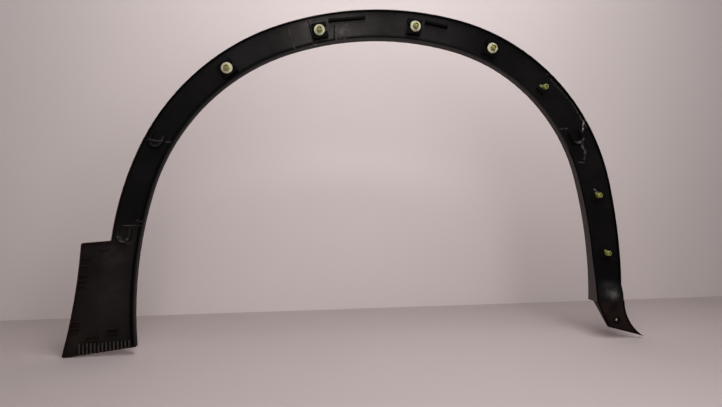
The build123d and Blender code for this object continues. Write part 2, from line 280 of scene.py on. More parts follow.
def new_group(
    name: str, inputs: dict[str, Optional[float]], output: str
) -> tuple[Nodes, dict[str, Socket], bpy.types.Node]:
    """Starts a shader node group with named sockets.

    Args:
        name: Name of the group.
        inputs: Socket name to its default value, or to None for a vector.
        output: Name of the one value that the group puts out.

    Returns:
        The node helper, the input sockets by name, and the output node.
    """
    tree = bpy.data.node_groups.new(name, "ShaderNodeTree")
    for key, value in inputs.items():
        kind = "NodeSocketVector" if value is None else "NodeSocketFloat"
        socket = tree.interface.new_socket(key, in_out="INPUT", socket_type=kind)
        if value is not None:
            socket.default_value = value
    tree.interface.new_socket(output, in_out="OUTPUT", socket_type="NodeSocketFloat")
    start, end = tree.nodes.new("NodeGroupInput"), tree.nodes.new("NodeGroupOutput")
    return Nodes(tree), {key: start.outputs[key] for key in inputs}, end


@dataclass(frozen=True)
class Unevenness:
    """Slow changes of a tone: scale and detail of the clouds, where they start and end, the darker share."""

    scale: float
    detail: float
    span: Span
    share: float


class Effects:
    """Shader node groups that more than one finish uses."""

    def __init__(self) -> None:
        """Builds each group once."""
        self.grain = self.grain_group()
        self.dust = self.dust_group()
        self.uneven = self.uneven_group()
        self.patch = self.patch_group()
        self.scratches = self.scratch_group()
        self.line = self.line_group()

    @staticmethod
    def grain_group() -> bpy.types.NodeTree:
        """Fine pebble grain of a spark-eroded mould: cells with a little cloud noise on top.

        Returns:
            The group, which puts out a height.
        """
        n, i, end = new_group("moulded_grain", {"Vector": None, "Scale": 900.0}, "Height")
        cells = n.add("ShaderNodeTexVoronoi", i, feature="SMOOTH_F1")
        fine = n.noise(i["Vector"], i["Scale"], detail=2.0)
        n.feed(end, {"Height": n.plus(cells.outputs["Distance"], n.times(fine, 0.6))})
        return n.tree

    @staticmethod
    def dust_group() -> bpy.types.NodeTree:
        """Dust that lies in clouds, and more of it on faces that look up.

        Returns:
            The group, which puts out a mask.
        """
        n, i, end = new_group("settled_dust", {"Vector": None, "Normal": None, "Amount": 0.5}, "Mask")
        cloud = n.ramp(n.noise(i["Vector"], scale=16.0, detail=6.0, roughness=0.62), 0.42, 0.72)
        speck = n.ramp(n.noise(i["Vector"], scale=420.0, detail=2.0), 0.50, 0.74)
        lying = n.plus(n.times(n.ramp(n.split(i["Normal"])["Z"], 0.1, 0.9), 0.7), 0.45)
        total = n.times(n.plus(cloud, n.times(speck, 0.5)), lying)
        n.feed(end, {"Mask": n.math("MULTIPLY", total, i["Amount"], clamp=True)})
        return n.tree

    @staticmethod
    def uneven_group() -> bpy.types.NodeTree:
        """Slow clouds, cut to a soft mask.

        Returns:
            The group, which puts out a mask.
        """
        sockets = {"Vector": None, "Scale": 9.0, "Detail": 4.0, "From": 0.35, "To": 0.70}
        n, i, end = new_group("uneven_tone", sockets, "Mask")
        cloud = n.noise(i["Vector"], i["Scale"], i["Detail"])
        n.feed(end, {"Mask": n.ramp(cloud, i["From"], i["To"])})
        return n.tree

    @staticmethod
    def patch_group() -> bpy.types.NodeTree:
        """A ragged patch round a centre, such as rubbed-on residue.

        Returns:
            The group, which puts out a mask.
        """
        sockets = {"Vector": None, "Centre": None, "Radius": 0.02, "Break-up": 160.0}
        n, i, end = new_group("ragged_patch", sockets, "Mask")
        away = n.vector("DISTANCE", i["Vector"], i["Centre"])
        ragged = n.noise(i["Vector"], i["Break-up"], detail=6.0, roughness=0.7)
        near = n.inverse(n.math("DIVIDE", away, i["Radius"]))
        body = n.plus(near, n.times(n.math("SUBTRACT", ragged, 0.52), 3.0))
        n.feed(end, {"Mask": n.times(n.ramp(body, 0.25, 0.9), n.ramp(near, 0.0, 0.35))})
        return n.tree

    @staticmethod
    def scratch_group() -> bpy.types.NodeTree:
        """Thin rubbed lines: noise stretched far along one direction and cut near its top.

        Returns:
            The group, which puts out a mask.
        """
        n, i, end = new_group("rub_marks", {"Vector": None, "Amount": 0.5}, "Mask")
        first = n.noise(n.stretched(i["Vector"], (26.0, 60.0, 900.0), 0.35), scale=1.0, detail=2.0)
        second = n.noise(n.stretched(i["Vector"], (800.0, 60.0, 22.0), 0.2), scale=1.0, detail=2.0)
        gate = n.ramp(n.noise(i["Vector"], scale=30.0), 0.52, 0.68)
        lines = n.math("MAXIMUM", n.ramp(first, 0.66, 0.72), n.ramp(second, 0.68, 0.74))
        n.feed(end, {"Mask": n.math("MULTIPLY", n.times(lines, gate), i["Amount"], clamp=True)})
        return n.tree

    @staticmethod
    def line_group() -> bpy.types.NodeTree:
        """A thin line from one point to another in X and Z, shaken by noise.

        The mask is 1 where the distance to the nearest point of the segment is well under the width
        and falls to 0 at the width.

        Returns:
            The group, which puts out a mask.
        """
        sockets = {"Vector": None, "Start": None, "End": None, "Width": 0.001, "Shake": 0.001}
        n, i, end = new_group("line_mark", sockets, "Mask")
        noise = n.add("ShaderNodeTexNoise", {"Vector": i["Vector"], "Scale": 210.0, "Detail": 3.0})
        shake = n.scaled(n.vector("SUBTRACT", noise.outputs["Color"], (0.5, 0.5, 0.5)), i["Shake"])
        point = n.vector("MULTIPLY", n.vector("ADD", i["Vector"], shake), IN_PLANE)
        run, back = (n.vector("SUBTRACT", tip, i["Start"]) for tip in (i["End"], point))
        along, whole = n.vector("DOT_PRODUCT", back, run), n.vector("DOT_PRODUCT", run, run)
        nearest = n.scaled(run, n.math("DIVIDE", along, whole, clamp=True))
        outside = n.ramp(n.vector("DISTANCE", back, nearest), n.times(i["Width"], 0.35), i["Width"])
        n.feed(end, {"Mask": n.inverse(outside)})
        return n.tree

    def dust_mask(self, n: Nodes, coord: bpy.types.Node, amount: float) -> Socket:
        """Where dust lies on a finish.

        Args:
            n: Node helper of the material.
            coord: Coordinate node of the material.
            amount: How much dust there is.

        Returns:
            A mask between 0 and 1.
        """
        where = {"Vector": coord.outputs["Object"], "Normal": coord.outputs["Normal"]}
        return n.group(self.dust, {**where, "Amount": amount})["Mask"]

    def tone(self, n: Nodes, place: Socket, base: Colour, uneven: Unevenness) -> Socket:
        """A base colour that darkens a little in clouds.

        Args:
            n: Node helper of the material.
            place: Object coordinates.
            base: The colour between the clouds.
            uneven: Size and depth of the clouds.

        Returns:
            The uneven colour.
        """
        low, high = uneven.span
        clouds = {"Scale": uneven.scale, "Detail": uneven.detail, "From": low, "To": high}
        mask = n.group(self.uneven, {"Vector": place, **clouds})["Mask"]
        return n.mix(mask, base, tuple(uneven.share * c for c in base))


def start_material(name: str) -> tuple[bpy.types.Material, Nodes, bpy.types.Node, bpy.types.Node]:
    """A new material with its Principled shader and a coordinate node.

    Args:
        name: Name of the material.

    Returns:
        The material, the node helper, the shader node and the coordinate node.
    """
    material = bpy.data.materials.new(name)
    material.use_nodes = True
    nodes = Nodes(material.node_tree)
    shader = material.node_tree.nodes["Principled BSDF"]
    return material, nodes, shader, nodes.add("ShaderNodeTexCoord")


def seen_directly(n: Nodes) -> Socket:
    """Tells what the viewer sees from other light.

    Args:
        n: Node helper of the material or the world.

    Returns:
        1 for what is seen straight, in a gloss or through something clear, and 0 for other light.
    """
    path = n.add("ShaderNodeLightPath").outputs
    return n.strongest(path[ray] for ray in ("Is Glossy Ray", "Is Transmission Ray", "Is Camera Ray"))


@dataclass(frozen=True)
class Patch:
    """A ragged pale patch: its centre, radius and strength."""

    centre: Point
    radius: float
    strength: float

    def mask(self, n: Nodes, effects: Effects, place: Socket) -> Socket:
        """Where the patch lies, up to its strength."""
        inputs = {"Vector": place, "Centre": self.centre, "Radius": self.radius}
        return n.times(n.group(effects.patch, inputs)["Mask"], self.strength)


@dataclass(frozen=True)
class SoftArea:
    """A soft lighter or darker area: its centre, reach, strength, tone and the noise where it starts. Most
    stand for painted sheen, painted highlights and painted shade.
    """

    centre: Point
    reach: float
    strength: float
    tone: Colour = (0.062, 0.056, 0.056)
    cloud_from: float = 0.2

    def mask(self, n: Nodes, place: Socket) -> Socket:
        """Full within a tenth of the reach, fading to nothing at the reach, and clouded by noise.

        Args:
            n: Node helper of the material.
            place: Object coordinates.

        Returns:
            A mask between 0 and the strength.
        """
        near = n.ramp(n.vector("DISTANCE", place, self.centre), self.reach, 0.1 * self.reach)
        cloud = n.ramp(n.noise(place, scale=70.0, detail=5.0, roughness=0.6), self.cloud_from, 0.75)
        return n.times(near, cloud, self.strength)


@dataclass(frozen=True)
class Mark:
    """A line on the moulding: its ends in X and Z, width, shake, strength and tone."""

    start: Span
    end: Span
    width: float
    shake: float
    strength: float
    tone: MarkTone = MarkTone.PALE

    def mask(self, n: Nodes, effects: Effects, place: Socket) -> Socket:
        """Where the line runs, up to its strength.

        Args:
            n: Node helper of the material.
            effects: The shared node groups.
            place: Object coordinates.

        Returns:
            A mask between 0 and the strength.
        """
        ends = {"Start": (self.start[0], 0.0, self.start[1]), "End": (self.end[0], 0.0, self.end[1])}
        line = n.group(effects.line, {"Vector": place, **ends, "Width": self.width, "Shake": self.shake})
        return n.times(line["Mask"], self.strength)


@dataclass(frozen=True)
class MouldingZones:
    """Where the areas of the moulding begin and end.

    Edges lie along X or Z, and a pair is a soft edge. Proud tops, lip and hollows are told apart by
    their depth along Y, and the sides of the wall by how far a face looks along Y or to the middle of
    the wheel opening. The line between the halves of the band is a squared-off ellipse.
    """

    looks_at_car: Span = (-0.5, -0.2)
    looks_outboard: Span = (0.15, 0.45)
    looks_inward: Span = (0.6, 0.9)
    flap_edge: float = -0.425
    flap_top: Span = (-0.325, -0.350)
    sill_edge: float = -0.452
    front_edge: float = 0.2
    jog_edge: float = -0.400
    foot_top: Span = (-0.455, -0.475)
    proud: float = 0.0072
    lip_step: float = 0.0010
    foot_proud: float = 0.0002
    deep: Span = (0.0184, 0.0194)
    lip_fade: Span = (-0.25, 0.22)
    lip_least: float = 0.30
    lip_end: Span = (-0.500, -0.470)
    seat_reach: float = 0.0165
    seat_share: float = 0.2
    band_middle: Span = (-0.07, -0.47)
    band_half: Span = (0.40, 0.47)
    band_power: float = 2.4


class MouldingMasks:
    """Masks over the moulding, from the place and the facing of each point."""

    def __init__(self, n: Nodes, coord: bpy.types.Node, zones: MouldingZones) -> None:
        """Works out the masks that several steps of the finish use.

        Args:
            n: Node helper of the material.
            coord: Coordinate node of the material.
            zones: Edges of the areas.
        """
        self.n, self.zones = n, zones
        self.place, self.facing = coord.outputs["Object"], coord.outputs["Normal"]
        self.flat = n.vector("MULTIPLY", self.place, IN_PLANE)
        self.axes = n.split(self.place)
        look = n.split(self.facing)["Y"]
        self.clip_side = n.inverse(n.ramp(look, *zones.looks_at_car))
        self.outboard = n.ramp(look, *zones.looks_outboard)
        self.flap = n.math("LESS_THAN", self.axes["X"], zones.flap_edge)
        self.front_leg = n.math("GREATER_THAN", self.axes["X"], zones.front_edge)
        self.lip = self.lip_half()

    def lip_half(self) -> Socket:
        """Which half of the band a point is in.

        The line between the halves is a squared-off ellipse, open downwards: a power of the share
        across plus a power of the share up is 1 on the line and less on the side of the lip.

        Returns:
            1 on the half towards the wheel opening and 0 on the half towards the rim.
        """
        n, zones = self.n, self.zones
        across, above = (
            n.math("DIVIDE", n.math("SUBTRACT", self.axes[axis], middle), half)
            for axis, middle, half in zip("XZ", zones.band_middle, zones.band_half)
        )
        wide = n.math("POWER", n.math("ABSOLUTE", across), zones.band_power)
        tall = n.math("POWER", n.math("MAXIMUM", above, 0.0), zones.band_power)
        return n.math("LESS_THAN", n.plus(wide, tall), 1.0)

    def inward(self) -> Socket:
        """How far a face looks to the middle of the wheel opening.

        Returns:
            1 on faces that look there, and 0 on the rest.
        """
        n = self.n
        aim = n.vector("SUBTRACT", (ARCH_MIDDLE[0], 0.0, ARCH_MIDDLE[1]), self.flat)
        towards = n.vector("DOT_PRODUCT", self.facing, n.vector("NORMALIZE", aim, (0.0, 0.0, 0.0)))
        return n.ramp(towards, *self.zones.looks_inward)

    def by_seats(self, seats: np.ndarray) -> Socket:
        """Which points are close to a seat.

        Args:
            seats: Middles of the seats in the plane of the arch, one row each.

        Returns:
            1 close to any of the seats, and 0 elsewhere.
        """
        n = self.n
        away = (n.vector("DISTANCE", self.flat, seat) for seat in seats)
        return n.strongest(n.math("LESS_THAN", distance, self.zones.seat_reach) for distance in away)

    def flap_face(self) -> Socket:
        """1 on the broad flap below the end of the band."""
        return self.n.times(self.flap, self.n.ramp(self.axes["Z"], *self.zones.flap_top))

    def foot(self) -> Socket:
        """1 on the foot below its jog."""
        return self.n.times(self.n.ramp(self.axes["Z"], *self.zones.foot_top), self.front_leg)

    def lip_edge(self) -> Socket:
        """Which points are on the edge of the lip, which takes a painted highlight.

        Returns:
            1 on the edge that looks at the car, above the jog, and 0 elsewhere.
        """
        n = self.n
        above = n.math("GREATER_THAN", self.axes["Z"], self.zones.jog_edge)
        return n.times(n.math("LESS_THAN", self.axes["Y"], self.zones.proud), self.clip_side, self.lip, above)

    def painted_lip_light(self, seats: np.ndarray) -> Socket:
        """Where painted light lies: the side of the lip that bounds the wheel opening, and weakly the like
        sides of the seats.

        Args:
            seats: Middles of all clip seats in the plane of the arch, one row each.

        Returns:
            A mask that is strongest near the foot.
        """
        n, zones = self.n, self.zones
        seat = self.by_seats(seats)
        towards_foot = n.times(n.ramp(self.axes["X"], *zones.lip_fade), 1.0 - zones.lip_least)
        shown = n.math("MAXIMUM", n.times(self.lip, n.inverse(seat)), n.times(seat, zones.seat_share))
        return n.times(
            self.inward(),
            n.ramp(self.axes["Z"], *zones.lip_end),
            n.math("GREATER_THAN", self.axes["X"], zones.sill_edge),
            n.plus(towards_foot, zones.lip_least),
            shown,
        )

    def hollows(self) -> Socket:
        """1 on the floors of pockets on the clip side, which take painted shade."""
        return self.n.times(self.n.ramp(self.axes["Y"], *self.zones.deep), self.clip_side)

    def proud_tops(self, empty: np.ndarray) -> Socket:
        """1 on tops that stand proud of the band, such as rims, fins and seats that hold a clip; off the flap
        they take painted shade.

        Args:
            empty: Middles of the seats that hold no clip, one row each.

        Returns:
            A mask of 0 and 1.
        """
        n, zones = self.n, self.zones
        below_jog = n.times(n.math("LESS_THAN", self.axes["Z"], zones.jog_edge), self.front_leg)
        limit = n.math("SUBTRACT", zones.proud, n.times(self.lip, zones.lip_step))
        limit = n.plus(limit, n.times(below_jog, zones.foot_proud - zones.proud))
        proud = n.math("LESS_THAN", self.axes["Y"], limit)
        return n.times(proud, self.clip_side, n.inverse(self.by_seats(empty)))


@dataclass(frozen=True)
class MouldedBlack:
    """Grained satin black of the moulding, with dust, rub marks, scratches and pale residue, and with painted
    light: painted sheen and highlights, and painted shade in the deepest floors, on proud tops and along dark
    lines.
    """

    zones: MouldingZones = MouldingZones()
    base: Colour = (0.0027, 0.0024, 0.0025)
    # Outer side painted lighter: partly the paler grained show face, partly painted light for the side the
    # lamps hardly reach.
    outer: Colour = (0.0200, 0.0188, 0.0192)
    # Painted shade for deep floors, proud tops, cracks and shadow lines.
    painted_shade: Colour = (0.0006, 0.0005, 0.0005)
    # Rub marks, and the painted highlight on the lip's free edge.
    wear_and_highlight: Colour = (0.014, 0.012, 0.012)
    dust: Colour = (0.060, 0.050, 0.047)
    residue: Colour = (0.100, 0.086, 0.082)
    chalk: Colour = (0.30, 0.265, 0.255)
    flap_tone: Colour = (0.0105, 0.0085, 0.0084)
    foot_tone: Colour = (0.0120, 0.0074, 0.0066)
    # Painted light on the lip's side towards the wheel opening, for the wall's glancing reflection.
    painted_lip_light: Colour = (0.064, 0.056, 0.055)
    rim_brown: Colour = (0.0170, 0.0085, 0.0060)
    # Painted highlight on the tops of the flap's gussets.
    gusset_highlight: Colour = (0.042, 0.035, 0.032)
    uneven: Unevenness = Unevenness(9.0, 4.0, (0.35, 0.70), 0.78)
    specular: float = 0.03
    least_rough: float = 0.44
    rough_swing: float = 0.16
    dusty_rough: float = 0.35
    rub_amount: float = 0.6
    dust_amount: float = 0.10
    edge_highlight: float = 0.8
    top_share: float = 0.98
    inner_grain: float = 0.25
    wave_depth: float = 0.8
    residue_depth: float = 0.6
    patches: tuple[Patch, ...] = (
        Patch((-0.176, 0.004, 0.006), 0.024, 0.75),
        Patch((-0.122, 0.008, -0.008), 0.026, 0.80),
        Patch((-0.168, 0.010, -0.030), 0.016, 0.55),
        Patch((0.290, 0.006, -0.186), 0.013, 0.75),
        Patch((0.294, 0.004, -0.204), 0.010, 0.60),
        Patch((-0.460, 0.004, -0.348), 0.012, 0.50),
        # Painted highlight on the bump of the foot's jog.
        Patch((0.352, 0.004, -0.452), 0.010, 0.35),
    )
    soft_areas: tuple[SoftArea, ...] = (
        # Painted sheen over the top of the band, where the front lamp's gloss falls.
        SoftArea((-0.140, 0.012, -0.010), 0.110, 0.46, (0.120, 0.108, 0.108), -0.3),
        SoftArea((0.005, 0.012, -0.005), 0.110, 0.29, cloud_from=-0.3),
        SoftArea((-0.265, 0.012, -0.050), 0.110, 0.34, (0.030, 0.027, 0.027), -0.3),
        SoftArea((-0.481, 0.0105, -0.376), 0.030, 0.45, (0.034, 0.030, 0.030)),
        SoftArea((-0.481, 0.0105, -0.430), 0.045, 0.35, (0.032, 0.027, 0.028)),
        SoftArea((-0.506, 0.0105, -0.389), 0.030, 0.55, (0.0040, 0.0030, 0.0036)),
        SoftArea((-0.530, 0.0105, -0.500), 0.030, 0.45, (0.022, 0.018, 0.012)),
        # Painted highlight on the bump of the foot's jog: a broad bloom and its core.
        SoftArea((0.347, 0.005, -0.4490), 0.026, 0.55, (0.060, 0.054, 0.056)),
        SoftArea((0.354, 0.004, -0.4525), 0.013, 0.60, (0.130, 0.118, 0.121)),
        # Painted shade below the jog and round the foot's screw boss.
        SoftArea((0.352, 0.001, -0.474), 0.018, 0.90, (0.0008, 0.0006, 0.0007)),
        SoftArea((0.345, 0.000, -0.496), 0.021, 0.85, (0.0010, 0.0008, 0.0006)),
    )
    marks: tuple[Mark, ...] = (
        Mark((-0.1771, 0.0030), (-0.1722, -0.0140), 0.0013, 0.0030, 1.0, MarkTone.DARK),
        Mark((-0.1722, -0.0140), (-0.1662, -0.0322), 0.0013, 0.0030, 1.0, MarkTone.DARK),
        Mark((-0.2078, -0.0089), (-0.2064, -0.0214), 0.0014, 0.0015, 0.6),
        Mark((-0.2064, -0.0214), (-0.1983, -0.0416), 0.0014, 0.0015, 0.6),
        Mark((-0.1306, -0.0011), (-0.1309, -0.0257), 0.0022, 0.0015, 0.45),
        Mark((0.3018, -0.1494), (0.3007, -0.1687), 0.0020, 0.004, 0.75, MarkTone.CHALK),
        Mark((0.2990, -0.1810), (0.3018, -0.1949), 0.0024, 0.003, 0.9),
        Mark((0.3018, -0.1949), (0.3065, -0.2001), 0.0022, 0.003, 0.9),
        Mark((0.3065, -0.2001), (0.3059, -0.2158), 0.0024, 0.003, 0.55),
        Mark((0.2612, -0.1637), (0.2742, -0.1631), 0.0015, 0.002, 0.5),
        Mark((0.2965, -0.2212), (0.3059, -0.2220), 0.0015, 0.002, 0.5),
        Mark((0.2410, -0.0787), (0.2815, -0.1208), 0.0015, 0.0014, 0.4),
        Mark((0.2815, -0.1208), (0.3076, -0.1620), 0.0015, 0.0014, 0.5),
        Mark((0.2235, -0.0888), (0.2290, -0.0913), 0.0022, 0.002, 0.75, MarkTone.CHALK),
        Mark((0.2345, -0.0703), (0.2428, -0.0718), 0.0013, 0.0015, 0.7),
        Mark((0.3238, -0.2683), (0.3285, -0.2735), 0.0014, 0.002, 0.6, MarkTone.CHALK),
        Mark((-0.4698, -0.3442), (-0.4651, -0.3528), 0.0017, 0.001, 0.6),
        Mark((-0.4651, -0.3528), (-0.4532, -0.3565), 0.0017, 0.001, 0.6),
        Mark((-0.4651, -0.3281), (-0.4354, -0.3282), 0.0013, 0.001, 0.45),
        Mark((-0.4428, -0.3202), (-0.4369, -0.3218), 0.0032, 0.004, 0.35),
        Mark((-0.4279, -0.1936), (-0.3932, -0.1970), 0.0013, 0.003, 0.55),
        Mark((-0.1339, -0.0012), (-0.1339, -0.0258), 0.0015, 0.0008, 0.9, MarkTone.DARK),
        # Painted shadow by the sides of the empty seat on the front leg.
        Mark((0.3007, -0.1739), (0.3010, -0.1783), 0.002, 0.001, 0.9, MarkTone.DARK),
        Mark((0.2811, -0.1760), (0.2872, -0.1881), 0.0024, 0.001, 0.8, MarkTone.DARK),
    )

    def faces(self, effects: Effects, masks: MouldingMasks) -> Socket:
        """Tone of the broad faces: uneven black, rub marks, browner flap and foot, soft lighter and darker
        areas that are mostly painted sheen, painted highlight and painted shade, and the outer side, painted
        lighter.

        Args:
            effects: The shared node groups.
            masks: Masks over the moulding.

        Returns:
            The colour without dust and marks.
        """
        n, place = masks.n, masks.place
        rub = n.group(effects.scratches, {"Vector": place, "Amount": self.rub_amount})["Mask"]
        layers = [(rub, self.wear_and_highlight), (masks.flap_face(), self.flap_tone), (masks.foot(), self.foot_tone)]
        layers += [(n.times(soft_area.mask(n, place), masks.clip_side), soft_area.tone) for soft_area in self.soft_areas]
        # Outer side painted lighter, partly as painted light.
        layers.append((masks.outboard, self.outer))
        return n.layered(effects.tone(n, place, self.base, self.uneven), layers)

    def edges(self, masks: MouldingMasks, proud: Socket, seats: np.ndarray) -> list[tuple[Socket, Tone]]:
        """Tones of the lip, the hollows and the proud tops: a painted highlight on the lip's edge, painted
        light on the lip's side, and painted shade in the hollows and on the proud tops, which on the flap are
        brown on the rim and take a painted highlight on the gussets.

        Args:
            masks: Masks over the moulding.
            proud: Mask of the proud tops.
            seats: Middles of all clip seats in the plane of the arch, one row each.

        Returns:
            Masks and tones in the order in which they are laid.
        """
        n, zones = masks.n, masks.zones
        # On the flap the rim tops are brown and the gusset tops take a painted highlight.
        rubbed = n.times(proud, masks.flap, n.ramp(n.noise(masks.place, scale=120.0), 0.25, 0.55))
        gussets = n.math("LESS_THAN", masks.axes["Y"], zones.proud - zones.lip_step)
        # Painted shade on the proud tops off the flap.
        shaded_tops = n.times(proud, n.math("SUBTRACT", self.top_share, masks.flap, clamp=True))
        return [
            # Painted highlight on the lip's free edge.
            (n.times(masks.lip_edge(), self.edge_highlight), self.wear_and_highlight),
            # Painted light on the lip's side towards the wheel opening.
            (masks.painted_lip_light(seats), self.painted_lip_light),
            (masks.hollows(), self.painted_shade),
            (rubbed, n.mix(gussets, self.rim_brown, self.gusset_highlight)),
            (shaded_tops, self.painted_shade),
        ]

    def wear(self, effects: Effects, masks: MouldingMasks, proud: Socket) -> dict[MarkTone, Socket]:
        """Where scratches, residue, scrapes and cracks lie on the clip side.

        Args:
            effects: The shared node groups.
            masks: Masks over the moulding.
            proud: Mask of the proud tops, which stay free of residue.

        Returns:
            A mask for each tone.
        """
        n, place = masks.n, masks.place
        broken = n.ramp(n.noise(place, scale=300.0, detail=4.0, roughness=0.6), 0.36, 0.62)
        lines = {
            tone: n.strongest(mark.mask(n, effects, place) for mark in self.marks if mark.tone is tone)
            for tone in MarkTone
        }
        patches = n.strongest(patch.mask(n, effects, place) for patch in self.patches)
        pale = n.math("MAXIMUM", n.times(lines[MarkTone.PALE], broken), patches)
        return {
            MarkTone.PALE: n.times(pale, masks.clip_side, n.inverse(proud)),
            MarkTone.CHALK: n.times(lines[MarkTone.CHALK], masks.clip_side, broken),
            MarkTone.DARK: n.times(lines[MarkTone.DARK], masks.clip_side),
        }

    def rough(self, masks: MouldingMasks, pale: Socket, dust: Socket) -> Socket:
        """Roughness: a slow swing over the satin, and rougher under residue and dust.

        Args:
            masks: Masks over the moulding.
            pale: Mask of scratches and residue.
            dust: Mask of the dust.

        Returns:
            A value between 0 and 1.
        """
        n = masks.n
        swing = n.times(n.noise(masks.place, scale=55.0, detail=4.0), self.rough_swing)
        soiled = n.times(n.math("MAXIMUM", pale, dust), self.dusty_rough)
        return n.math("ADD", n.plus(swing, self.least_rough), soiled, clamp=True)

    def relief(self, effects: Effects, masks: MouldingMasks, pale: Socket) -> Socket:
        """Bumped normal: grain, which is deepest on the outer side, slow waves and raised residue.

        Args:
            effects: The shared node groups.
            masks: Masks over the moulding.
            pale: Mask of scratches and residue.

        Returns:
            The normal.
        """
        n = masks.n
        grain = n.group(effects.grain, {"Vector": masks.place})["Height"]
        depth = n.plus(n.times(masks.outboard, 1.0 - self.inner_grain), self.inner_grain)
        waves = n.times(n.noise(masks.place, scale=38.0), self.wave_depth)
        height = n.plus(n.times(grain, depth), waves, n.times(pale, self.residue_depth))
        return n.bump(height, strength=0.45, distance=0.0004)

    def build(self, effects: Effects, seats: np.ndarray, empty: np.ndarray) -> bpy.types.Material:
        """Makes the material.

        Args:
            effects: The shared node groups.
            seats: Middles of all clip seats in the plane of the arch, one row each.
            empty: Middles of the seats that hold no clip, one row each.

        Returns:
            The finished material.
        """
        material, n, shader, coord = start_material("moulded_black")
        masks = MouldingMasks(n, coord, self.zones)
        dust = effects.dust_mask(n, coord, self.dust_amount)
        proud = masks.proud_tops(empty)
        wear = self.wear(effects, masks, proud)
        tones = {MarkTone.PALE: self.residue, MarkTone.CHALK: self.chalk, MarkTone.DARK: self.painted_shade}
        layers = [(dust, self.dust), *self.edges(masks, proud, seats)]
        layers += [(wear[tone], tones[tone]) for tone in MarkTone]
        n.feed(shader, {
            "Base Color": n.layered(self.faces(effects, masks), layers),
            "Specular IOR Level": self.specular,
            "Roughness": self.rough(masks, wear[MarkTone.PALE], dust),
            "Normal": self.relief(effects, masks, wear[MarkTone.PALE]),
        })
        return material


@dataclass(frozen=True)
class ClipNylon:
    """Yellow-green nylon of the clips, a little dusty, with painted shade in the open ends of the pins."""

    base: Colour = (0.26, 0.26, 0.062)
    grime: Colour = (0.07, 0.062, 0.03)
    # Painted shade in the open ends of the pins.
    inside: Colour = (0.030, 0.020, 0.009)
    uneven: Unevenness = Unevenness(300.0, 3.0, (0.35, 0.70), 0.86)
    dust_amount: float = 0.55
    least_rough: float = 0.28
    rough_swing: float = 0.2
    inner_light: float = 0.12
    light_reach: Point = (0.002, 0.002, 0.001)
    hollow_radius: float = 0.0031
    hollow_top: float = -0.0029

    def painted_shade(self, n: Nodes, place: Socket, pins: np.ndarray) -> Socket:
        """Where painted shade goes in a pin: near the axis of a pin and below its open end.

        Args:
            n: Node helper of the material.
            place: Object coordinates.
            pins: Middles of the pins, one row each.

        Returns:
            1 inside a pin and 0 elsewhere.
        """
        depth = n.split(place)["Y"]
        flat = n.vector("MULTIPLY", place, IN_PLANE)
        insides = []
        for x, y, z in pins:
            near = n.math("LESS_THAN", n.vector("DISTANCE", flat, (x, 0.0, z)), self.hollow_radius)
            below = n.math("GREATER_THAN", depth, y + self.hollow_top)
            insides.append(n.times(near, below))
        return n.strongest(insides)

    def build(self, effects: Effects, pins: np.ndarray) -> bpy.types.Material:
        """Makes the material.

        Args:
            effects: The shared node groups.
            pins: Middles of the pins, one row each.

        Returns:
            The finished material.
        """
        material, n, shader, coord = start_material("clip_nylon")
        place = coord.outputs["Object"]
        dust = effects.dust_mask(n, coord, self.dust_amount)
        layers = [(dust, self.grime), (self.painted_shade(n, place, pins), self.inside)]
        rough = n.times(n.noise(place, scale=700.0, detail=2.0), self.rough_swing)
        n.feed(shader, {
            "Base Color": n.layered(effects.tone(n, place, self.base, self.uneven), layers),
            "Roughness": n.plus(rough, self.least_rough),
            "Subsurface Weight": self.inner_light,
            "Subsurface Radius": self.light_reach,
            "Normal": n.bump(n.noise(place, scale=900.0, detail=2.0), strength=0.2, distance=0.0002),
        })
        return material


@dataclass(frozen=True)
class SealFoam:
    """Off-white closed-cell foam of the sealing discs, soiled towards its rim."""

    base: Colour = (0.44, 0.41, 0.285)
    soil: Colour = (0.10, 0.084, 0.055)
    uneven: Unevenness = Unevenness(130.0, 4.0, (0.35, 0.70), 0.84)
    dust_amount: float = 0.5
    rim_soil: float = 0.7
    pore_scale: float = 1500.0
    roughness: float = 0.72

    def build(self, effects: Effects) -> bpy.types.Material:
        """Makes the material.

        Args:
            effects: The shared node groups.

        Returns:
            The finished material.
        """
        material, n, shader, coord = start_material("seal_foam")
        place = coord.outputs["Object"]
        share = n.add("ShaderNodeAttribute", attribute_name="reach").outputs["Fac"]
        rim = n.times(n.ramp(share, 0.72, 1.0), n.ramp(n.noise(place, scale=240.0, detail=4.0), 0.40, 0.65))
        dust = effects.dust_mask(n, coord, self.dust_amount)
        soiled = n.math("MAXIMUM", n.times(rim, self.rim_soil), dust)
        pores = n.group(effects.grain, {"Vector": place, "Scale": self.pore_scale})["Height"]
        n.feed(shader, {
            "Base Color": n.mix(soiled, effects.tone(n, place, self.base, self.uneven), self.soil),
            "Roughness": self.roughness,
            "Normal": n.bump(pores, strength=0.5, distance=0.0003),
        })
        return material


